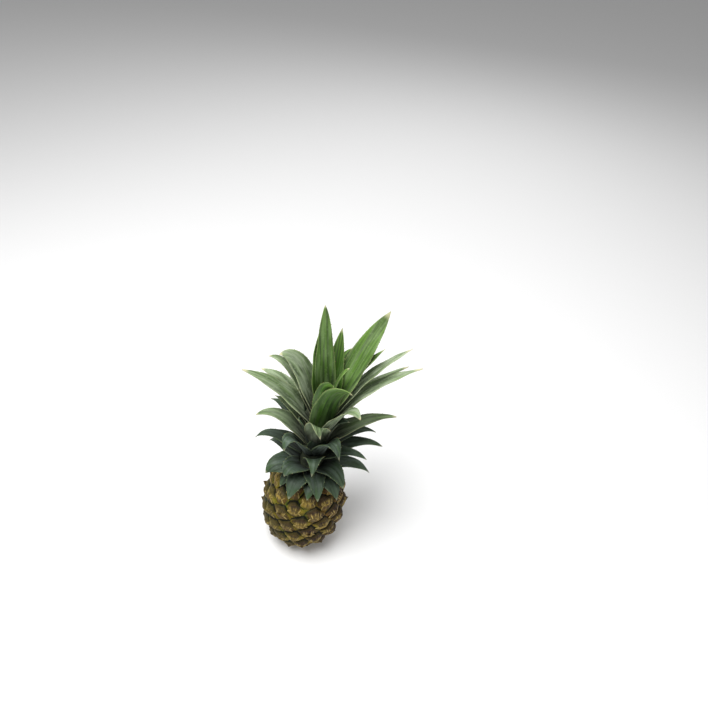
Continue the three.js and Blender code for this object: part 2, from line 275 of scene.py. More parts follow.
def eye_relief(edge, across, up, seed):
    """Rise of the rind over the grooves: a boss that stands proudest at its upper rim, with a broad
    pad of dry sepals on it. The pad's pleats fan up from the eye's foot, and its middle is a pit."""
    sheer = 0.55 + 0.45 * smooth(np.abs(up) / SHEER_FROM)
    boss = 1 - sheer * (1 - smooth(edge / GROOVE_WIDTH) ** 0.6)
    way = np.hypot(across, up) / EYE_REACH
    dome = np.clip(1 - way**2, 0, 1)
    beak = np.exp(-((np.hypot(across, up - 0.0004) / BEAK_SIZE) ** 2))
    rim = np.exp(-(((edge - RIM_IN) / RIM_WIDTH) ** 2)) * smooth((up / EYE_REACH + 0.5) / 0.9)
    pad = smooth((1 - np.hypot(across / PAD_HALF_WIDTH, (up - PAD_UP) / PAD_HALF_HEIGHT)) / 0.3)
    fan = np.arctan2(across, up + FAN_FOOT)
    wavy = np.cos(fan * 61 + 2.5 * np.sin(up * 1500 + 9 * seed))
    pleat = pad * (np.cos(fan * 29 + 6 * seed) + wavy) / 2
    pit = np.exp(-((np.hypot(across * 0.7, up - PIT_UP) / PIT_SIZE) ** 2))
    rise = EYE_RISE * (0.88 + 0.24 * seed) * (0.4 * boss + 0.72 * dome * smooth(edge / 0.005))
    rise += 0.0004 * rim + 0.0007 * beak + 0.0003 * pad + boss * 0.0011 * up / EYE_REACH
    rise += PLEAT_DEPTH * pleat - PIT_DEPTH * pit
    return rise, pad, pit, fan


def rolling(points, scale, seed, waves=24):
    """Smooth random numbers about 0 over space, the same on every run."""
    draw = np.random.default_rng(seed)
    ways = draw.normal(size=(waves, 3)) * scale
    starts = draw.uniform(0, 2 * np.pi, waves)
    return np.cos(points @ ways.T + starts).sum(axis=1) * np.sqrt(2 / waves)


def grid_faces(rows, columns, first=0):
    """Quads between rows of points that close on themselves, facing outwards going up."""
    j, k = np.meshgrid(np.arange(rows - 1), np.arange(columns), indexing="ij")
    a = first + j * columns + k
    b = first + j * columns + (k + 1) % columns
    return np.stack([a, b, b + columns, a + columns], -1).reshape(-1, 4)


def capped_rings(name, vertices, rows, columns):
    """A closed piece from rows of points, bottom to top, with a flat cap at each end."""
    last = (rows - 1) * columns
    caps = [list(range(columns))[::-1], list(range(last, last + columns))]
    return mesh_object(name, vertices, [*grid_faces(rows, columns), *caps])


def point_attribute(made, name, values):
    layer = made.data.attributes.new(name, "FLOAT", "POINT")
    layer.data.foreach_set("value", np.asarray(values, dtype=np.float32))


def vector_attribute(made, name, values):
    layer = made.data.attributes.new(name, "FLOAT_VECTOR", "POINT")
    layer.data.foreach_set("vector", np.asarray(values, dtype=np.float32).ravel())


def build_rind():
    azimuth = np.arange(RIND_COLUMNS) / RIND_COLUMNS * 2 * np.pi
    low = np.interp(0, barrel["height"], barrel["length"])
    high = np.interp(FRUIT_HEIGHT, barrel["height"], barrel["length"])
    levels = read_barrel("length", np.linspace(low, high, RIND_ROWS), "sphere")
    turn, level = np.meshgrid(azimuth, levels)
    point = on_sphere(turn.ravel(), level.ravel())
    eye, edge, across, up = eye_net(point)
    tints = np.random.default_rng(11).uniform(size=EYES)
    edge = np.maximum(edge + EDGE_WOBBLE * rolling(point, 22, seed=5) - 0.0001, 0)
    rise, pad, pit, fan = eye_relief(edge, across, up, tints[eye])
    rise *= eye_fullness[eye]
    rise += FINE_WAVES * rolling(point, 40, seed=3) + BROAD_WAVES * rolling(point, 9, seed=4)
    place, _ = on_fruit(point, rise)
    place[:, 2] = np.clip(place[:, 2], 0, FRUIT_HEIGHT)

    def ring(radius, height):
        flat = outward(azimuth) * radius
        flat[:, 2] = height
        flat[:, 0] += FRUIT_LEAN * height
        return flat

    rim = STALK_RADIUS + GAP
    top = STALK_DEPTH + GAP
    below = [ring(0.0001, top), ring(rim, top), ring(rim, 0), ring((rim + 0.0154) / 2, 0)]
    above = [ring(0.011, FRUIT_HEIGHT), ring(0.0001, FRUIT_HEIGHT)]
    vertices = np.concatenate([*below, place, *above])
    made = capped_rings("rind", vertices, len(below) + RIND_ROWS + len(above), RIND_COLUMNS)
    start, end = len(below) * RIND_COLUMNS, len(above) * RIND_COLUMNS
    arch = smooth((up - 0.001) / 0.0045)

    def whole(values, outside=0.0):
        return np.pad(values, (start, end), constant_values=outside)

    layers = {
        # Grooves darkened, wider and heavier over each eye's top: partly dirt, partly painted shade.
        "groove": (1 - smooth(edge / (0.0008 + 0.0008 * arch))) * (0.4 + 0.6 * arch),
        # Painted shade: a dark fade from each groove into the eye, strongest over the eye's top.
        "groove_shade": np.exp(-edge / GROOVE_SHADE_WIDTH) * (0.35 + 0.65 * arch),
        "shoulder": 1 - smooth((edge - 0.0003) / 0.0015),
        "pad": pad,
        "pit": pit,
        "upper": smooth((up / EYE_REACH + 0.3) / 1.1),
    }
    for layer, values in layers.items():
        point_attribute(made, layer, whole(values))
    point_attribute(made, "tint", whole(tints[eye], 0.5))
    pad_map = np.stack([PAD_SPREAD * fan + 0.1 * eye, up, 0 * up], -1)
    vector_attribute(made, "pad_map", np.pad(pad_map, ((start, end), (0, 0))))
    return made


rind = build_rind()


def srgb(red, green, blue):
    """A colour as seen on a screen, 0 to 255, as the linear colour that a material takes."""
    def linear(c):
        c /= 255
        return c / 12.92 if c < 0.04045 else ((c + 0.055) / 1.055) ** 2.4
    return (linear(red), linear(green), linear(blue), 1)


def mixed(tree, share, first, second, blend="MIX"):
    node = put(tree, "ShaderNodeMix", data_type="RGBA", blend_type=blend)
    for key, value in ((0, share), (6, first), (7, second)):
        if isinstance(value, bpy.types.NodeSocket):
            tree.links.new(value, node.inputs[key])
        else:
            node.inputs[key].default_value = value
    return node.outputs[2]


def eased(tree, value, low, high, bottom=0.0, top=1.0):
    """Goes smoothly from bottom to top while the value goes from low to high."""
    inputs = {"Value": value, "From Min": low, "From Max": high, "To Min": bottom, "To Max": top}
    return put(tree, "ShaderNodeMapRange", inputs, interpolation_type="SMOOTHSTEP").outputs[0]


def over(tree, below, colour, mask, low, high, bottom=0.0, top=1.0):
    """Lays a colour over another as the mask goes from low to high, with a share from bottom to top."""
    return mixed(tree, eased(tree, mask, low, high, bottom, top), below, colour)


def times(tree, first, second):
    return put(tree, "ShaderNodeMath", {0: first, 1: second}, operation="MULTIPLY").outputs[0]


def object_place(tree):
    return put(tree, "ShaderNodeTexCoord").outputs["Object"]


def attribute(tree, name):
    return put(tree, "ShaderNodeAttribute", attribute_name=name).outputs["Fac"]


def shader_group(name, inputs, outputs):
    """A new node group with its named sockets, and the sockets seen from inside it."""
    group = bpy.data.node_groups.new(name, "ShaderNodeTree")
    for socket, (kind, value) in inputs.items():
        group.interface.new_socket(socket, in_out="INPUT", socket_type=kind).default_value = value
    for socket in outputs:
        group.interface.new_socket(socket, in_out="OUTPUT", socket_type="NodeSocketFloat")
    return group, group.nodes.new("NodeGroupInput").outputs, group.nodes.new("NodeGroupOutput").inputs


def mottle_group():
    """Soft noise over the object, about 0.3 to 0.7, with spots that may be stretched."""
    sockets = {
        "Scale": ("NodeSocketFloat", 100.0),
        "Detail": ("NodeSocketFloat", 3.0),
        "Stretch": ("NodeSocketVector", (1, 1, 1)),
    }
    group, given, result = shader_group("mottle", sockets, ("Value",))
    place = object_place(group)
    moved = put(group, "ShaderNodeMapping", {"Vector": place, "Scale": given["Stretch"]}).outputs[0]
    inputs = {"Vector": moved, "Scale": given["Scale"], "Detail": given["Detail"], "Roughness": 0.55}
    group.links.new(put(group, "ShaderNodeTexNoise", inputs).outputs["Fac"], result["Value"])
    return group


mottle_nodes = mottle_group()


def mottle(tree, scale, detail=3.0, stretch=(1, 1, 1)):
    inputs = {"Scale": scale, "Detail": detail, "Stretch": stretch}
    node = tree.nodes.new("ShaderNodeGroup")
    node.node_tree = mottle_nodes
    for key, value in inputs.items():
        node.inputs[key].default_value = value
    return node.outputs["Value"]


def streak_group():
    """Streaks along a piece's own map, which is in metres: fine veins, broad bands and long blotches."""
    sockets = {"Map": ("NodeSocketVector", (0, 0, 0)), "Fineness": ("NodeSocketFloat", 1.0)}
    group, given, result = shader_group("streaks", sockets, ("Fine", "Broad", "Blotch"))
    sizes = {"Fine": ((1900, 30, 1), 2.0), "Broad": ((430, 14, 1), 3.0), "Blotch": ((240, 40, 1), 5.0)}
    for output, (size, detail) in sizes.items():
        moved = put(group, "ShaderNodeMapping", {"Vector": given["Map"], "Scale": size}).outputs[0]
        inputs = {"Vector": moved, "Scale": given["Fineness"], "Detail": detail}
        group.links.new(put(group, "ShaderNodeTexNoise", inputs).outputs["Fac"], result[output])
    return group


streak_nodes = streak_group()


def streaks(tree, place, fineness=1.0):
    node = tree.nodes.new("ShaderNodeGroup")
    node.node_tree = streak_nodes
    tree.links.new(place, node.inputs["Map"])
    node.inputs["Fineness"].default_value = fineness
    return node.outputs


def bumped(tree, shader, height, distance, strength=1.0):
    inputs = {"Height": height, "Distance": distance, "Strength": strength}
    tree.links.new(put(tree, "ShaderNodeBump", inputs).outputs[0], shader.inputs["Normal"])


def rind_finish():
    """Dull skin: nearly black grooves, partly dirt and partly painted shade, heaviest over each eye's top,
    with painted shade fading from them into the eye; yellow-green rims that ripen to ochre; and brown eyes
    with a purplish pad and tan pleats, both darker towards the top, partly their own colour and partly
    painted shade, and a pit darkened by withered flower remains and painted shade."""
    material, tree, shader = principled("rind_skin", Roughness=0.62, Specular_IOR_Level=0.18)
    tint = attribute(tree, "tint")
    side = put(tree, "ShaderNodeSeparateXYZ", {0: object_place(tree)}).outputs
    patches = mottle(tree, 60)
    grain = mottle(tree, 900, detail=5)
    ripe = eased(tree, mottle(tree, 34, detail=1), 0.4, 0.6)
    face = mixed(tree, eased(tree, tint, 0.25, 0.75), srgb(92, 64, 22), srgb(136, 122, 34))
    face = over(tree, face, srgb(64, 47, 18), patches, 0.42, 0.62)
    green = mixed(tree, ripe, srgb(92, 116, 14), srgb(142, 124, 24))
    green = over(tree, green, srgb(136, 88, 38), side[0], -0.005, 0.035, 0.0, 0.7)
    green = over(tree, green, srgb(124, 80, 36), side[2], 0.035, 0.01, 0.0, 0.4)
    # The eye's skin darker towards its top: partly its own colour, partly painted shade from the eye above.
    face = over(tree, face, srgb(66, 47, 26), attribute(tree, "upper"), 0.3, 0.9, 0.0, 0.8)
    shoulder = times(tree, attribute(tree, "shoulder"), eased(tree, mottle(tree, 150), 0.36, 0.54, 0.4, 1.0))
    skin = mixed(tree, shoulder, face, green)
    fan = put(tree, "ShaderNodeAttribute", attribute_name="pad_map").outputs["Vector"]
    lines = streaks(tree, fan, 0.75)
    pad = mixed(tree, eased(tree, tint, 0.25, 0.75), srgb(66, 46, 28), srgb(120, 102, 40))
    pad = over(tree, pad, srgb(204, 178, 104), lines["Fine"], 0.47, 0.58, 0.0, 0.9)
    pad = over(tree, pad, srgb(42, 29, 20), lines["Broad"], 0.46, 0.6, 0.0, 0.9)
    # The pad darker towards its top: partly the dry sepals' own purple-brown, partly painted shade from
    # above.
    pad = over(tree, pad, srgb(44, 32, 31), attribute(tree, "upper"), 0.42, 0.9, 0.0, 0.9)
    skin = over(tree, skin, pad, attribute(tree, "pad"), 0.1, 0.7, 0.0, 0.92)
    # The pit darkened: withered flower remains in it, and painted shade in the recess.
    skin = over(tree, skin, srgb(44, 34, 28), attribute(tree, "pit"), 0.3, 0.95, 0.0, 0.8)
    skin = over(tree, skin, srgb(116, 110, 40), side[0], 0.01, -0.03, 0.0, 0.3)
    # Painted shade fading from each groove into the eye, strongest over the eye's top.
    skin = over(tree, skin, srgb(30, 30, 9), attribute(tree, "groove_shade"), 0.08, 0.8, 0.0, 0.85)
    # Painted shade with some dirt: the grooves made nearly black, heaviest over each eye's top.
    skin = over(tree, skin, srgb(13, 15, 4), attribute(tree, "groove"), 0.1, 0.8)
    skin = mixed(tree, eased(tree, grain, 0.35, 0.7, 0.0, 0.5), skin, srgb(114, 98, 64), "MULTIPLY")
    tree.links.new(skin, shader.inputs["Base Color"])
    tree.links.new(eased(tree, grain, 0.3, 0.7, 0.5, 0.72), shader.inputs["Roughness"])
    bumped(tree, shader, grain, 0.0005, 0.7)
    return material


rind.data.materials.append(rind_finish())
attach(rind, "root")
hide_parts("fruit")

# Bracts: the dry leaf under each eye. It grows from the eye's lower edge, wraps its lower half as a
# shell with a papery pale margin, and ends in a thin hard spine that points out and up.
BRACT_OUTLINE = (
    # up from the eye's middle, rise over the grooves and half width, in millimetres
    (-8.6, 0.0, 4.6),
    (-7.5, 0.8, 6.0),
    (-6.3, 1.8, 7.0),
    (-5.0, 2.7, 7.2),
    (-3.7, 3.4, 6.8),
    (-2.5, 3.9, 6.0),
    (-1.3, 4.2, 4.9),
    (-0.2, 4.5, 3.7),
    (0.9, 4.9, 2.5),
    (1.9, 5.6, 1.4),
    (3.1, 6.9, 0.12),
)
BRACT_THICKNESS = 0.00045
BRACT_ROWS = 19
BRACT_COLUMNS = 11
BRACT_LIFT = 0.00025  # of the papery edge over the rind
BRACT_SPREAD = 0.006  # half width of its map, whose lines lean together at the foot and the point
FLAT_SHARE = 0.62  # of the bract's length, past which it's a free point
SKIN_BEND = (0.039, 0.06)  # radius of the fruit across and up
FULL_SIZE_RADIUS = 0.0375  # of the fruit, below which its bracts are smaller
WHOLE_POINTS = 0.45  # share of the bracts whose point isn't broken


def closed_sheet(rows, columns):
    """Faces of a sheet with two faces, the outer one's points first, and a rim that joins them."""
    size = rows * columns
    j, k = np.meshgrid(np.arange(rows - 1), np.arange(columns - 1), indexing="ij")
    a = (j * columns + k).ravel()
    front = np.stack([a, a + 1, a + 1 + columns, a + columns], -1)
    back = np.stack([a, a + columns, a + 1 + columns, a + 1], -1) + size
    low = np.arange(columns)
    right = np.arange(1, rows) * columns + columns - 1
    high = np.arange(columns - 2, -1, -1) + (rows - 1) * columns
    left = np.arange(rows - 2, 0, -1) * columns
    loop = np.concatenate([low, right, high, left])
    after = np.roll(loop, -1)
    rim = np.stack([after, loop, loop + size, after + size], -1)
    return np.concatenate([front, back, rim])


def blade_map(made, name, flat):
    """A map of the piece's own, in metres across and along its blades."""
    corner = np.empty(len(made.data.loops), dtype=np.int32)
    made.data.loops.foreach_get("vertex_index", corner)
    made.data.uv_layers.new(name=name).data.foreach_set("uv", flat[corner].astype(np.float32).ravel())


def build_bract_blank():
    """One bract, with its eye's middle at the origin, its skin across XY and its point up along Y."""
    outline = np.array(BRACT_OUTLINE) * 0.001
    spots = np.linspace(0, 1, len(outline))
    t, s = (grid.ravel() for grid in np.meshgrid(
        np.linspace(0, 1, BRACT_ROWS), np.linspace(-1, 1, BRACT_COLUMNS), indexing="ij"))
    up, ridge, half = (np.interp(t, spots, column) for column in outline.T)
    across = half * s
    free = smooth((t - FLAT_SHARE) / 0.25)
    drop = 0.0016 * np.abs(s) ** 2 * (1 - free) + 0.00025 * np.cos(s * 7) * (1 - free) * smooth(t / 0.2)
    rise = ridge - drop - across**2 / (2 * SKIN_BEND[0]) - up**2 / (2 * SKIN_BEND[1])
    outer = np.stack([across, up, rise], -1)
    thickness = np.minimum(BRACT_THICKNESS, 0.8 * half + 0.0001)
    inner = outer - np.stack([0 * t, 0 * t, thickness], -1)
    sheet = closed_sheet(BRACT_ROWS, BRACT_COLUMNS)
    made = mesh_object("bract_blank", np.concatenate([outer, inner]), sheet)
    point_attribute(made, "along", np.tile(t, 2))
    point_attribute(made, "margin", np.tile(np.abs(s), 2))
    point_attribute(made, "under", np.repeat([0.0, 1.0], len(t)))
    blade_map(made, "Bract", np.tile(np.stack([(across + BRACT_SPREAD * s) / 2, up], -1), (2, 1)))
    return made


def named(tree, name, kind="FLOAT"):
    return put(tree, "GeometryNodeInputNamedAttribute", {"Name": name}, data_type=kind).outputs[0]


def math_node(tree, operation, *values):
    return put(tree, "ShaderNodeMath", dict(enumerate(values)), operation=operation).outputs[0]


def vector_math(tree, operation, output, **values):
    inputs = {{"a": 0, "b": 1, "scale": "Scale"}[key]: value for key, value in values.items()}
    return put(tree, "ShaderNodeVectorMath", inputs, operation=operation).outputs[output]


def geometry_tree(name, inputs):
    """A new modifier tree with a geometry socket at each end and the given named inputs."""
    tree = bpy.data.node_groups.new(name, "GeometryNodeTree")
    tree.interface.new_socket("Geometry", in_out="INPUT", socket_type="NodeSocketGeometry")
    for socket, kind in inputs.items():
        tree.interface.new_socket(socket, in_out="INPUT", socket_type=kind)
    tree.interface.new_socket("Geometry", in_out="OUTPUT", socket_type="NodeSocketGeometry")
    return tree, tree.nodes.new("NodeGroupInput").outputs, tree.nodes.new("NodeGroupOutput").inputs


def grown(name, seeds, tree, values, leftovers=()):
    """What the tree makes of the seeds, as a plain mesh. The seeds and the leftovers are removed."""
    modifier = seeds.modifiers.new("grow", "NODES")
    modifier.node_group = tree
    for item in tree.interface.items_tree:
        if item.in_out == "INPUT" and item.name in values:
            modifier[item.identifier] = values[item.name]
    seeds.update_tag()
    bpy.context.view_layer.update()
    evaluated = seeds.evaluated_get(bpy.context.evaluated_depsgraph_get())
    mesh = bpy.data.meshes.new_from_object(evaluated)
    mesh.name = name
    seeds.modifiers.remove(modifier)
    made = bpy.data.objects.new(name, mesh)
    bpy.context.collection.objects.link(made)
    for spare in (seeds, *leftovers):
        bpy.data.objects.remove(spare)
    return made


def bract_tree():
    """Sets a bract on each eye, turned to the skin and varied in size and turn. Its foot sinks into the
    rind, the rest is lifted clear of it, and a blunt one's point is drawn back."""
    tree, given, result = geometry_tree("bracts_on_eyes", {
        "Bract": "NodeSocketObject", "Rind": "NodeSocketObject", "Lift": "NodeSocketFloat",
        "Flat Share": "NodeSocketFloat", "Floor": "NodeSocketFloat", "Material": "NodeSocketMaterial",
        "Seed": "NodeSocketInt",
    })
    blank = put(tree, "GeometryNodeObjectInfo", {"Object": given["Bract"]}).outputs["Geometry"]
    rind_shape = put(tree, "GeometryNodeObjectInfo", {"Object": given["Rind"]}).outputs["Geometry"]
    axes = {
        "Primary Axis": named(tree, "skin", "FLOAT_VECTOR"),
        "Secondary Axis": named(tree, "uphill", "FLOAT_VECTOR"),
    }
    facing = put(tree, "FunctionNodeAxesToRotation", axes, primary_axis="Z", secondary_axis="Y").outputs[0]

    def random(low, high, offset, kind="FLOAT"):
        inputs = {0: given["Seed"], 1: offset}
        seed = put(tree, "FunctionNodeIntegerMath", inputs, operation="ADD").outputs[0]
        node = put(tree, "FunctionNodeRandomValue", data_type=kind)
        low_socket, high_socket = [socket for socket in node.inputs if socket.enabled][:2]
        low_socket.default_value, high_socket.default_value = low, high
        tree.links.new(seed, node.inputs["Seed"])
        return next(socket for socket in node.outputs if socket.enabled)

    swing = random((-0.05, -0.05, -0.1), (0.05, 0.05, 0.1), 1, "FLOAT_VECTOR")
    swung = put(tree, "FunctionNodeEulerToRotation", {0: swing}).outputs[0]
    inputs = {"Rotation": facing, "Rotate By": swung}
    turned = put(tree, "FunctionNodeRotateRotation", inputs, rotation_space="LOCAL").outputs[0]
    size = random((0.9, 0.9, 0.85), (1.05, 1.08, 1.1), 2, "FLOAT_VECTOR")
    sizes = vector_math(tree, "MULTIPLY", 0, a=size, b=named(tree, "size", "FLOAT_VECTOR"))
    inputs = {"Points": given["Geometry"], "Instance": blank, "Rotation": turned, "Scale": sizes}
    placed = put(tree, "GeometryNodeInstanceOnPoints", inputs).outputs[0]
    tinted = put(tree, "GeometryNodeStoreNamedAttribute", {"Geometry": placed, "Name": "tint"},
                 data_type="FLOAT", domain="INSTANCE")
    tree.links.new(random(0.0, 1.0, 3), tinted.inputs["Value"])
    real = put(tree, "GeometryNodeRealizeInstances", {0: tinted.outputs[0]}).outputs[0]
    here = put(tree, "GeometryNodeInputPosition").outputs[0]
    normal = put(tree, "GeometryNodeInputNormal").outputs[0]

    def on_rind(value):
        inputs = {"Mesh": rind_shape, "Value": value, "Sample Position": here}
        return put(tree, "GeometryNodeSampleNearestSurface", inputs, data_type="FLOAT_VECTOR").outputs[0]

    skin_place, skin_normal = on_rind(here), on_rind(normal)
    away = vector_math(tree, "SUBTRACT", 0, a=here, b=skin_place)
    depth = vector_math(tree, "DOT_PRODUCT", 1, a=away, b=skin_normal)
    outer_face = math_node(tree, "SUBTRACT", 1.0, named(tree, "under"))
    sunk = put(tree, "ShaderNodeMapRange", {
        "Value": named(tree, "along"), "From Min": 0.02, "From Max": 0.3, "To Min": -3.0, "To Max": 1.0,
    }).outputs[0]
    clear = math_node(tree, "MULTIPLY", given["Lift"], math_node(tree, "MULTIPLY", outer_face, 1.4))
    clear = math_node(tree, "MULTIPLY", clear, sunk)
    short = math_node(tree, "MAXIMUM", math_node(tree, "SUBTRACT", clear, depth), 0.0)
    lifted = vector_math(tree, "SCALE", 0, a=skin_normal, scale=short)
    laid = put(tree, "FunctionNodeCompare", {0: named(tree, "along"), 1: given["Flat Share"]},
               data_type="FLOAT", operation="LESS_THAN").outputs[0]
    blunt = math_node(tree, "MULTIPLY", depth, math_node(tree, "SUBTRACT", named(tree, "point"), 1.0))
    lowered = vector_math(tree, "SCALE", 0, a=skin_normal, scale=blunt)
    inputs = {"Switch": laid, "False": lowered, "True": lifted}
    offset = put(tree, "GeometryNodeSwitch", inputs, input_type="VECTOR").outputs[0]
    moved = put(tree, "GeometryNodeSetPosition", {"Geometry": real, "Offset": offset}).outputs[0]
    there = put(tree, "GeometryNodeInputPosition").outputs[0]
    place = put(tree, "ShaderNodeSeparateXYZ", {0: there}).outputs
    height = math_node(tree, "MAXIMUM", place[2], given["Floor"])
    over_floor = put(tree, "ShaderNodeCombineXYZ", {0: place[0], 1: place[1], 2: height}).outputs[0]
    moved = put(tree, "GeometryNodeSetPosition", {"Geometry": moved, "Position": over_floor}).outputs[0]
    inputs = {"Geometry": moved, "Material": given["Material"]}
    finished = put(tree, "GeometryNodeSetMaterial", inputs).outputs[0]
    tree.links.new(finished, result["Geometry"])
    return tree


def bract_finish():
    """Dry and papery: tan and dark streaks over brown, a greenish foot, cream margins and a grey point."""
    material, tree, shader = principled("bract_paper", Roughness=0.66, Specular_IOR_Level=0.18)
    tint = attribute(tree, "tint")
    along = attribute(tree, "along")
    lines = streaks(tree, put(tree, "ShaderNodeUVMap", uv_map="Bract").outputs[0], 0.8)
    ripe = eased(tree, mottle(tree, 34, detail=1), 0.4, 0.6)
    body = mixed(tree, eased(tree, tint, 0.2, 0.8), srgb(94, 71, 28), srgb(132, 111, 42))
    foot = mixed(tree, ripe, srgb(96, 98, 28), srgb(112, 84, 36))
    body = over(tree, foot, body, along, 0.1, 0.4)
    dry = eased(tree, along, 0.12, 0.5, 0.2, 1.0)
    pale = times(tree, dry, eased(tree, lines["Fine"], 0.47, 0.62, 0.0, 0.6))
    dark = times(tree, dry, eased(tree, lines["Blotch"], 0.48, 0.6, 0.0, 0.8))
    body = mixed(tree, pale, body, srgb(196, 172, 104))
    body = mixed(tree, dark, body, srgb(50, 36, 24))
    body = over(tree, body, srgb(58, 44, 32), mottle(tree, 200), 0.46, 0.62, 0.0, 0.65)
    margin = eased(tree, attribute(tree, "margin"), 0.84, 0.98, 0.0, 0.7)
    margin = times(tree, margin, eased(tree, along, 0.15, 0.35))
    body = mixed(tree, times(tree, margin, eased(tree, along, 0.75, 0.6)), body, srgb(198, 178, 112))
    body = over(tree, body, srgb(92, 78, 50), along, 0.72, 0.9)
    tree.links.new(body, shader.inputs["Base Color"])
    bumped(tree, shader, lines["Fine"], 0.0004, 0.6)
    return material


def build_bracts():
    seeds_place, seeds_normal = on_fruit(eye_middle, np.zeros(EYES))
    higher, _ = on_fruit(eye_middle + 0.05 * eye_north, np.zeros(EYES))
    seeds = mesh_object("eye_middles", seeds_place, [])
    draw = np.random.default_rng(23)
    room_here = np.clip(eye_scale / FULL_SIZE_RADIUS, 0.8, 1.0)
    whole_point = draw.uniform(size=EYES) < WHOLE_POINTS
    point = np.where(whole_point, draw.uniform(0.8, 1.15, EYES), draw.uniform(0.15, 0.45, EYES))
    vector_attribute(seeds, "skin", seeds_normal)
    vector_attribute(seeds, "uphill", higher - seeds_place)
    vector_attribute(seeds, "size", np.stack([room_here, room_here, room_here * eye_fullness], -1))
    point_attribute(seeds, "point", point)
    values = {
        "Bract": build_bract_blank(), "Rind": rind, "Lift": BRACT_LIFT, "Flat Share": FLAT_SHARE,
        "Floor": 0.0002, "Material": bract_finish(), "Seed": 7,
    }
    return grown("bracts", seeds, bract_tree(), values, leftovers=[values["Bract"]])


bracts = build_bracts()
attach(bracts, "root")
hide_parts("fruit")

# The stub of the stalk: dry fibre, cut off flush with the base, with the ends of its bundles showing.
# It fills the socket in the fruit's base, and is grown together with the fruit.
STALK_BEVEL = 0.002
STALK_SIDES = 64
STALK_DISH = 0.0008


def build_stalk():
    azimuth = np.arange(STALK_SIDES) / STALK_SIDES * 2 * np.pi
    outline = [(0.0002, STALK_DISH), (0.5 * STALK_RADIUS, STALK_DISH), (0.8 * STALK_RADIUS, 0.0002),
               (0.95 * STALK_RADIUS, 0), (STALK_RADIUS, 0.0004), (STALK_RADIUS, STALK_DEPTH - STALK_BEVEL),
               (STALK_RADIUS - STALK_BEVEL, STALK_DEPTH), (0.0002, STALK_DEPTH)]
    rings = []
    for radius, height in outline:
        ring = outward(azimuth) * radius * (1 - 0.012 * np.cos(7 * azimuth)[:, None] ** 2)
        ring[:, 2] = height
        rings.append(ring)
    return capped_rings("stalk_stub", np.concatenate(rings), len(outline), STALK_SIDES)


stalk = build_stalk()


def stalk_finish():
    """Pale dry fibre with darker bundle ends in rings, browner towards the rind."""
    material, tree, shader = principled("cut_stalk", Roughness=0.88, Specular_IOR_Level=0.2)
    inputs = {"Vector": object_place(tree), "Scale": 1100.0}
    cells = put(tree, "ShaderNodeTexVoronoi", inputs).outputs["Distance"]
    body = mixed(tree, eased(tree, mottle(tree, 260), 0.4, 0.62), srgb(176, 152, 108), srgb(140, 116, 76))
    body = over(tree, body, srgb(104, 80, 50), cells, 0.32, 0.12, 0.0, 0.7)
    tree.links.new(body, shader.inputs["Base Color"])
    bumped(tree, shader, cells, 0.0004, 0.7)
    return material


stalk.data.materials.append(stalk_finish())
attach(stalk, "root")
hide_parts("stalk")

# The crown's stem: a short stout shoot, tough and grey-green, that leans to the right and is hidden by
# the feet of its leaves. It stands on the flat seat on top of the fruit, grown together with it.
CROWN_SHIFT = 0.0084
CROWN_LEAN = 0.15
COLLAR = 0.0022
STEM_PROFILE = ((-COLLAR, 0.0115), (0.040, 0.0115), (0.070, 0.009), (0.095, 0.005), (0.108, 0.0015))
STEM_SIDES = 48
UP = np.array([0.0, 0.0, 1.0])


def crown_axis(height):
    height = np.asarray(height, dtype=float)
    seat = FRUIT_HEIGHT + GAP + COLLAR
    return np.stack([CROWN_SHIFT + CROWN_LEAN * height, 0 * height, seat + height], -1)


def stem_radius(height):
    heights, radii = zip(*STEM_PROFILE)
    return np.interp(height, heights, radii)


def build_stem():
    azimuth = np.arange(STEM_SIDES) / STEM_SIDES * 2 * np.pi
    heights = np.linspace(-COLLAR, STEM_PROFILE[-1][0], 40)
    rings = []
    for height in heights:
        scar = 1 + 0.02 * np.cos(height * 900 + 3 * azimuth)
        rings.append(crown_axis(height) + outward(azimuth) * (stem_radius(height) * scar)[:, None])
    return capped_rings("crown_stem", np.concatenate(rings), len(heights), STEM_SIDES)


stem = build_stem()


def stem_finish():
    """Dull grey-green with rings of scars, and fresh green at the top, where young leaves are rolled up."""
    material, tree, shader = principled("stem_skin", Roughness=0.6, Specular_IOR_Level=0.3)
    scars = eased(tree, mottle(tree, 200, stretch=(1, 1, 3)), 0.4, 0.6)
    body = mixed(tree, scars, srgb(70, 76, 58), srgb(48, 54, 44))
    height = put(tree, "ShaderNodeSeparateXYZ", {0: object_place(tree)}).outputs[2]
    rolled = eased(tree, mottle(tree, 500, stretch=(1, 1, 0.1)), 0.35, 0.65)
    young = mixed(tree, rolled, srgb(60, 98, 26), srgb(84, 122, 42))
    body = over(tree, body, young, height, 0.165, 0.19)
    tree.links.new(body, shader.inputs["Base Color"])
    bumped(tree, shader, mottle(tree, 500), 0.0004, 0.5)
    return material


stem.data.materials.append(stem_finish())
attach(stem, "root")
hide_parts("crown")

# Leaves: stiff thick blades, channelled along the middle, that clasp the stem and bend over to a
# sharp tip. The low ones lie over the fruit's shoulder. Each row is a leaf, as
# [root height, root azimuth, rise in degrees, arm, tip azimuth, tip reach, tip height, width, fullness,
# turn] in millimetres and degrees. Heights are over the collar, and the reach is from the leaning axis.
MIDRIB_THICKNESS = 0.0017
EDGE_THICKNESS = 0.0005
OPEN_GUTTER = 0.42
SHOULDER_GUTTER = 0.2
CLASPING_GUTTER = 1.15
CLASP = 0.22
TURNED_BY = 0.6
ROOT_DEPTH = 0.001
LEAF_OVER_FRUIT = 0.0062
NECK = 0.14  # share by which a leaf is narrower just over its foot
WAVE_HEIGHT = 0.00035  # of its margins
WAVES = 240  # in radians for each metre along it
TWIST = 0.09  # in radians at the tip, as the spread of a random draw
SPINE_SWEEP = 0.7  # of the spines towards the tip, against outwards
LEAF_ROWS = 30
LEAF_COLUMNS = 11

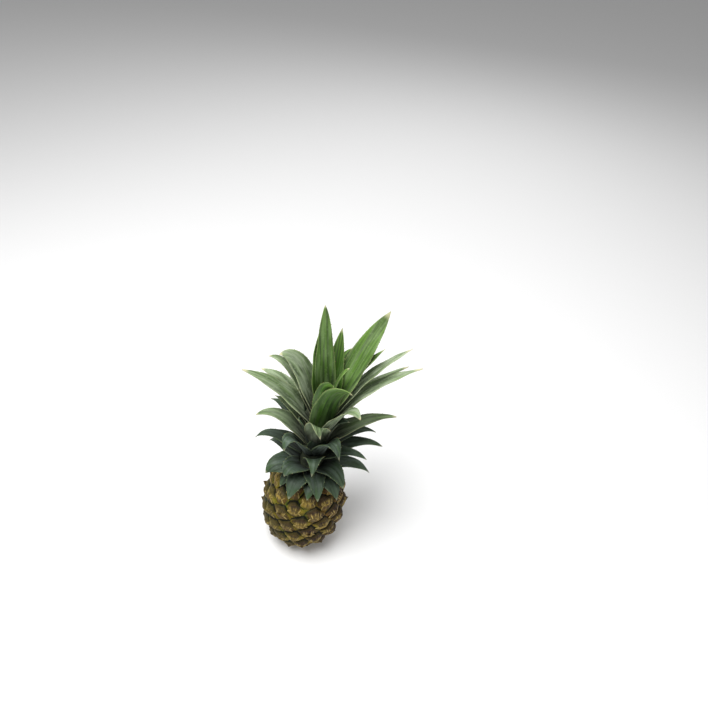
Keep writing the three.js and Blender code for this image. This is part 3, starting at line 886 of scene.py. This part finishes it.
SHOULDER_RING = (
    (1, 308, 25, 20, 312, 34, -4, 20, 2.0, 0),
    (1, 8, 25, 24, 3, 36, -4, 17, 2.4, 0),
    (4, 338, 40, 28, 338, 41, -2, 28, 2.2, 0),
    (5, 18, 40, 28, 17, 41, -1, 22, 2.4, 0),
    (3, 45, 30, 30, 42, 45, -4, 26, 2.2, 0),
    (5, 292, 44, 33, 293, 45, 8, 30, 2.2, 16),
    (10, 322, 52, 34, 320, 37, 19, 26, 2.2, 8),
    (10, 48, 50, 38, 53, 43, 4, 26, 2.6, 0),
    (9, 86, 25, 38, 84, 58, 6, 20, 1.8, 0),
    (2, 215, 30, 26, 212, 42, 0, 24, 2.0, 0),
    (3, 128, 30, 26, 130, 43, 0, 24, 2.0, 0),
    (6, 172, 40, 28, 170, 44, 4, 25, 2.0, 0),
    (10, 244, 40, 32, 242, 50, 8, 25, 2.0, 0),
)
SECOND_RING = (
    (18, 10, 64, 53, 0, 41, 38, 22, 1.9, 0),
    (21, 68, 50, 42, 77, 51, 32, 21, 1.6, 0),
    (23, 258, 38, 42, 260, 59, 26, 19, 1.7, 0),
    (29, 316, 68, 62, 317, 42, 57.5, 22, 1.9, 0),
    (30, 32, 68, 69, 32, 40, 54.5, 23, 2.0, -8),
    (23, 98, 35, 42, 97, 65, 30, 20, 1.8, 0),
    (29, 112, 38, 40, 108, 59, 38, 19, 1.7, 0),
    (17, 198, 45, 36, 200, 54, 20, 21, 1.6, 0),
    (19, 148, 42, 38, 146, 58, 20, 20, 1.6, 0),
    (33, 228, 50, 44, 230, 66, 48, 20, 1.7, 0),
    (35, 172, 50, 46, 174, 68, 52, 20, 1.7, 0),
)
SHEATH_LEAVES = (
    (33, 12, 84, 26, 10, 17, 66, 20, 2.4, 0),
    (44, 300, 80, 36, 298, 24, 78, 18, 2.2, 0),
    (46, 70, 78, 36, 66, 26, 80, 18, 2.2, 0),
    (50, 110, 76, 36, 112, 28, 86, 18, 2.2, 0),
    (52, 155, 78, 40, 158, 26, 92, 18, 2.2, 0),
    (54, 232, 78, 40, 230, 26, 96, 18, 2.2, 0),
)
LONG_LEAVES = (
    (45, 2, 70, 78, 359, 38, 85.5, 26, 2.2, 16),
    (39, 104, 42, 48, 105, 73, 61, 22, 2.0, 0),
    (39, 262, 60, 50, 266, 61, 64, 22, 1.9, 0),
    (56, 46, 68, 76, 40, 44, 108.5, 22, 2.4, 0),
    (53, 262, 62, 38, 258, 48, 86, 18, 1.8, 0),
    (63, 258, 62, 48, 267, 79, 120, 22, 2.6, 8),
    (57, 240, 64, 54, 249, 68, 104, 20, 2.6, 10),
    (69, 250, 72, 72, 264, 58, 136, 15, 2.2, 10),
    (73, 240, 78, 74, 266, 49, 141, 25, 2.8, 20),
    (65, 108, 56, 50, 101, 78, 128, 22, 2.6, 8),
    (59, 122, 52, 50, 119, 80, 108, 16, 2.2, 0),
    (69, 112, 62, 52, 107, 66, 146, 20, 2.4, 10),
    (43, 138, 52, 48, 138, 76, 68, 19, 2.0, 0),
    (47, 205, 56, 50, 208, 74, 78, 18, 2.0, 0),
    (61, 172, 60, 50, 174, 72, 92, 18, 2.2, 0),
    (67, 214, 64, 52, 214, 60, 104, 18, 2.2, 0),
)
HEART_LEAVES = (
    (52, 18, 84, 86, 36, 30, 127, 26, 2.8, 10),
    (66, 345, 86, 74, 20, 10, 118, 15, 2.2, 0),
    (73, 116, 66, 52, 111, 42, 147, 16, 2.4, 10),
    (75, 118, 70, 62, 128, 46, 177, 26, 4, -30),
    (72, 160, 72, 52, 158, 38, 128, 20, 2.2, 0),
    (78, 150, 80, 50, 181, 25, 158, 23, 2.2, -30),
    (80, 228, 84, 70, 229, 24, 160, 21, 1.9, 0),
    (82, 192, 86, 90, 231, 25, 187, 22, 1.7, 0),
    (84, 290, 86, 30, 290, 8, 117, 12, 2.0, 0),
    (88, 92, 86, 36, 96, 12, 134, 14, 2.0, 0),
    (94, 40, 88, 22, 20, 6, 118, 10, 2.0, 0),
)


def drape(points):
    """Moves points out of the clearance over the fruit, except close by the stem."""
    x = points[:, 0] - FRUIT_LEAN * points[:, 2]
    flat = np.hypot(x, points[:, 1]) / (FRUIT_RADIUS + LEAF_OVER_FRUIT)
    tall = np.abs(points[:, 2] - BARREL_MIDDLE) / (BARREL_HALF + LEAF_OVER_FRUIT)
    inside = flat**BARREL_POWER + tall**BARREL_POWER
    from_stem = np.hypot(points[:, 0] - CROWN_SHIFT, points[:, 1])
    grow = np.maximum(inside, 1e-9) ** (-1 / BARREL_POWER)
    grow = np.where((inside >= 1) | (from_stem < stem_radius(0) + ROOT_DEPTH), 1, grow)
    height = BARREL_MIDDLE + (points[:, 2] - BARREL_MIDDLE) * grow
    return np.stack([x * grow + FRUIT_LEAN * height, points[:, 1] * grow, height], -1)


def blade(row, open_gutter, draw):
    """One leaf's points, its outer face first and then its inner one, with the shares along and
    across, and the lengths along and across."""
    up, azimuth, rise, arm, tip_azimuth, reach, tip_height, width, fullness, turn = row
    rise = math.radians(rise)
    up, arm, reach, tip_height, width = (0.001 * value for value in (up, arm, reach, tip_height, width))
    out = outward(np.radians(azimuth))
    root = crown_axis(up) + out * (stem_radius(up) - ROOT_DEPTH)
    aim = root + arm * (math.cos(rise) * out + math.sin(rise) * UP)
    tip = crown_axis(tip_height) + outward(np.radians(tip_azimuth)) * reach
    t = np.linspace(0, 1, LEAF_ROWS) ** 0.92
    t[-1] = 0.995
    spine = np.outer((1 - t) ** 2, root) + np.outer(2 * t * (1 - t), aim) + np.outer(t**2, tip)
    along = np.outer(1 - t, aim - root) + np.outer(t, tip - aim)
    along /= np.linalg.norm(along, axis=1, keepdims=True)
    length = np.concatenate([[0], np.cumsum(np.linalg.norm(np.diff(spine, axis=0), axis=1))])
    neck = 1 - NECK + NECK * np.sin(np.pi * np.minimum(1, t / 0.45))
    half = width / 2 * (1 - t**fullness) * neck
    clasping = min(CLASPING_GUTTER, width / 2 / stem_radius(up))
    gutter = open_gutter + (clasping - open_gutter) * np.exp(-((t / CLASP) ** 1.5))
    side = np.cross(out, UP)
    c = np.linspace(-1, 1, LEAF_COLUMNS)
    wave_start, twist = draw.uniform(0, 6), draw.normal(0, TWIST)
    faces = ([], [])
    for k in range(LEAF_ROWS):
        side = side - along[k] * (side @ along[k])
        side /= np.linalg.norm(side)
        inner = np.cross(side, along[k])
        roll = math.radians(turn) * smooth(t[k] / TURNED_BY) + twist * t[k] ** 2
        across = side * math.cos(roll) + inner * math.sin(roll)
        inward = inner * math.cos(roll) - side * math.sin(roll)
        bend = half[k] / gutter[k]
        sweep = gutter[k] * c
        swell = MIDRIB_THICKNESS * (1 - 0.6 * t[k]) - EDGE_THICKNESS
        thick = EDGE_THICKNESS + swell * (1 - np.abs(c) ** 2.5)
        thick = np.minimum(thick, 0.9 * half[k] + 0.0002)
        wave = WAVE_HEIGHT * np.sin(length[k] * WAVES + wave_start + 1.5 * c) * c**2 * smooth(t[k] / 0.3)
        for way, points in zip((1, -1), faces):
            radius = bend - way * thick / 2
            shift = np.outer(radius * np.sin(sweep), across)
            points.append(spine[k] + shift + np.outer(bend - radius * np.cos(sweep) + wave, inward))
    front, back = (drape(np.concatenate(points)) for points in faces)
    shares = np.repeat(t, LEAF_COLUMNS), np.tile(np.abs(c), LEAF_ROWS)
    lengths = np.repeat(length, LEAF_COLUMNS), np.outer(half, c).ravel()
    return front, back, shares, lengths


leaf_margins = []  # of each leaf edge: its points, the ways its spines point, and their sizes


def keep_margins(front, back, along):
    middle = ((front + back) / 2).reshape(LEAF_ROWS, LEAF_COLUMNS, 3)
    size = smooth((along - 0.04) / 0.16) * smooth((0.97 - along) / 0.25)
    for edge in (0, -1):
        line = middle[:, edge]
        away = line - middle[:, LEAF_COLUMNS // 2]
        away /= np.linalg.norm(away, axis=1, keepdims=True)
        ahead = np.gradient(line, axis=0)
        ahead /= np.linalg.norm(ahead, axis=1, keepdims=True)
        leaf_margins.append((line, away + SPINE_SWEEP * ahead, size))


def build_leaves(name, rows, open_gutter, seed):
    draw = np.random.default_rng(seed)
    sheet = closed_sheet(LEAF_ROWS, LEAF_COLUMNS)
    heights = [row[6] for row in rows]
    vertices, faces, layers, lengths = [], [], {"along": [], "margin": [], "inner": [], "tint": []}, []
    for number, row in enumerate(rows):
        front, back, (t, side), (way, across) = blade(row, open_gutter, draw)
        faces.append(sheet + 2 * len(front) * number)
        vertices += [front, back]
        layers["along"].append(np.tile(t, 2))
        layers["margin"].append(np.tile(side, 2))
        layers["inner"].append(np.repeat([1.0, 0.0], len(t)))
        level = np.interp(row[6], (min(heights), max(heights)), (0, 1))
        layers["tint"].append(np.full(2 * len(t), 0.5 * draw.uniform() + 0.5 * level))
        lengths.append(np.tile(np.stack([across + 0.05 * number, way], -1), (2, 1)))
        keep_margins(front, back, t[::LEAF_COLUMNS])
    made = mesh_object(name, np.concatenate(vertices), np.concatenate(faces))
    for layer, values in layers.items():
        point_attribute(made, layer, np.concatenate(values))
    blade_map(made, "Blade", np.concatenate(lengths))
    return made


def leaf_finish(name, root, body, tip, rim, bloom, face_bloom, back_bloom, dryness):
    """Tough skin with fine veins along it, a thin paler margin, a dry cream point, and wax in streaks
    and flecks that can lie thicker on the back."""
    material, tree, shader = principled(name, Roughness=0.6, Specular_IOR_Level=0.25)
    along = attribute(tree, "along")
    tint = attribute(tree, "tint")
    lines = streaks(tree, put(tree, "ShaderNodeUVMap", uv_map="Blade").outputs[0])
    colour = over(tree, body, tip, tint, 0, 1, 0.0, 0.45)
    colour = over(tree, root, colour, along, 0.06, 0.45)
    colour = over(tree, colour, tip, along, 0.5, 1.0, 0.0, 0.8)
    colour = over(tree, colour, srgb(24, 36, 20), lines["Broad"], 0.42, 0.6, 0.0, 0.7)
    thickness = eased(tree, attribute(tree, "inner"), 0.0, 1.0, back_bloom, face_bloom)
    thickness = times(tree, thickness, eased(tree, tint, 0.2, 1.0, 0.5, 1.5))
    waxed = eased(tree, lines["Blotch"], 0.4, 0.64, 0.15, 1.0)
    colour = mixed(tree, times(tree, waxed, thickness), colour, bloom)
    flecks = eased(tree, mottle(tree, 420, detail=4), 0.56, 0.68, 0.0, 0.5)
    colour = mixed(tree, times(tree, flecks, thickness), colour, bloom)
    colour = over(tree, colour, srgb(34, 48, 30), lines["Fine"], 0.38, 0.62, 0.0, 0.3)
    colour = over(tree, colour, rim, attribute(tree, "margin"), 0.88, 1.0, 0.0, 0.28)
    colour = over(tree, colour, srgb(204, 198, 160), along, 0.91, 0.97, 0.0, dryness)
    tree.links.new(colour, shader.inputs["Base Color"])
    tree.links.new(eased(tree, lines["Broad"], 0.3, 0.7, 0.5, 0.7), shader.inputs["Roughness"])
    bumped(tree, shader, lines["Fine"], 0.0003, 0.45)
    return material


SHADED_ROOT = srgb(34, 32, 33)
PURPLE_GREY = srgb(56, 52, 50)
outer_green = leaf_finish("outer_leaf", SHADED_ROOT, srgb(36, 50, 34), srgb(66, 92, 50),
                          srgb(112, 132, 92), srgb(102, 114, 108), 0.45, 0.5, 0.3)
middle_green = leaf_finish("middle_leaf", PURPLE_GREY, srgb(76, 98, 52), srgb(138, 164, 108),
                           srgb(196, 200, 152), srgb(172, 186, 156), 0.6, 0.6, 0.8)
heart_green = leaf_finish("heart_leaf", srgb(46, 72, 14), srgb(58, 102, 12), srgb(112, 148, 62),
                          srgb(164, 184, 112), srgb(150, 176, 122), 0.26, 0.45, 0.6)

for leaf_name, leaf_rows, leaf_gutter, leaf_material, leaf_seed in (
    ("shoulder_leaves", SHOULDER_RING, SHOULDER_GUTTER, outer_green, 3109),
    ("second_leaves", SECOND_RING, OPEN_GUTTER, outer_green, 3133),
    ("sheath_leaves", SHEATH_LEAVES, OPEN_GUTTER, outer_green, 1940),
    ("long_leaves", LONG_LEAVES, OPEN_GUTTER, middle_green, 878),
    ("heart_leaves", HEART_LEAVES, OPEN_GUTTER, heart_green, 2669),
):
    leaves = build_leaves(leaf_name, leaf_rows, leaf_gutter, leaf_seed)
    leaves.data.materials.append(leaf_material)
    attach(leaves, "root")
    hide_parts("crown")

# Spines on the leaves: small hard hooks in a row along both margins, part of the leaf's own edge. They
# point outwards and towards the tip, and grow smaller at both ends of the leaf.
SPINE_SPACING = 0.0046
SPINE_HEIGHT = 0.0009
SPINE_HALF = 0.00028
SPINE_ROOT = 0.0002  # sunk into the margin
SMALLEST_SPINE = 0.3  # of its full size


def build_spine_blank():
    corners = [(-1, -1), (1, -1), (1, 1), (-1, 1)]
    foot = [(x * SPINE_HALF, y * SPINE_HALF, -SPINE_ROOT) for x, y in corners]
    sides = [(0, 1, 4), (1, 2, 4), (2, 3, 4), (3, 0, 4), (3, 2, 1, 0)]
    made = mesh_object("spine_blank", [*foot, (0, 0, SPINE_HEIGHT)], sides, smooth=False)
    point_attribute(made, "height", [0, 0, 0, 0, 1])
    return made


def spine_tree():
    """Walks along the margins and sets a spine at each step, turned to the margin's outward way."""
    tree, given, result = geometry_tree("spines_on_margins", {
        "Spine": "NodeSocketObject", "Spacing": "NodeSocketFloat", "Material": "NodeSocketMaterial",
        "Seed": "NodeSocketInt",
    })
    blank = put(tree, "GeometryNodeObjectInfo", {"Object": given["Spine"]}).outputs["Geometry"]
    lines = put(tree, "GeometryNodeMeshToCurve", {0: given["Geometry"]}).outputs[0]
    inputs = {"Curve": lines, "Length": given["Spacing"]}
    steps = put(tree, "GeometryNodeResampleCurve", inputs, mode="LENGTH").outputs[0]
    away = named(tree, "away", "FLOAT_VECTOR")
    facing = put(tree, "FunctionNodeAlignRotationToVector", {"Vector": away}, axis="Z").outputs[0]
    inputs = {2: 0.75, 3: 1.2, "Seed": given["Seed"]}
    change = put(tree, "FunctionNodeRandomValue", inputs, data_type="FLOAT").outputs[1]
    size = math_node(tree, "MULTIPLY", named(tree, "size"), change)
    inputs = {0: size, 1: SMALLEST_SPINE}
    chosen = put(tree, "FunctionNodeCompare", inputs, data_type="FLOAT", operation="GREATER_THAN").outputs[0]
    inputs = {
        "Points": steps, "Selection": chosen, "Instance": blank, "Rotation": facing, "Scale": size,
    }
    placed = put(tree, "GeometryNodeInstanceOnPoints", inputs).outputs[0]
    real = put(tree, "GeometryNodeRealizeInstances", {0: placed}).outputs[0]
    inputs = {"Geometry": real, "Material": given["Material"]}
    finished = put(tree, "GeometryNodeSetMaterial", inputs).outputs[0]
    tree.links.new(finished, result["Geometry"])
    return tree


def spine_finish():
    """Green like the margin at the foot, and dry brown at the point."""
    material, tree, shader = principled("leaf_spine", Roughness=0.5, Specular_IOR_Level=0.3)
    foot = mixed(tree, eased(tree, mottle(tree, 90), 0.4, 0.6), srgb(96, 122, 76), srgb(132, 142, 96))
    body = over(tree, foot, srgb(128, 88, 52), attribute(tree, "height"), 0.25, 0.9)
    tree.links.new(body, shader.inputs["Base Color"])
    return material


def build_spines():
    points = np.concatenate([line for line, _, _ in leaf_margins])
    firsts = [number * LEAF_ROWS for number in range(len(leaf_margins))]
    edges = [(first + k, first + k + 1) for first in firsts for k in range(LEAF_ROWS - 1)]
    mesh = bpy.data.meshes.new("margin_lines")
    mesh.from_pydata(points.tolist(), edges, [])
    seeds = bpy.data.objects.new("margin_lines", mesh)
    bpy.context.collection.objects.link(seeds)
    vector_attribute(seeds, "away", np.concatenate([away for _, away, _ in leaf_margins]))
    point_attribute(seeds, "size", np.concatenate([size for _, _, size in leaf_margins]))
    values = {"Spine": build_spine_blank(), "Spacing": SPINE_SPACING, "Material": spine_finish(), "Seed": 5}
    return grown("leaf_spines", seeds, spine_tree(), values, leftovers=[values["Spine"]])


leaf_spines = build_spines()
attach(leaf_spines, "root")
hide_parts("crown")
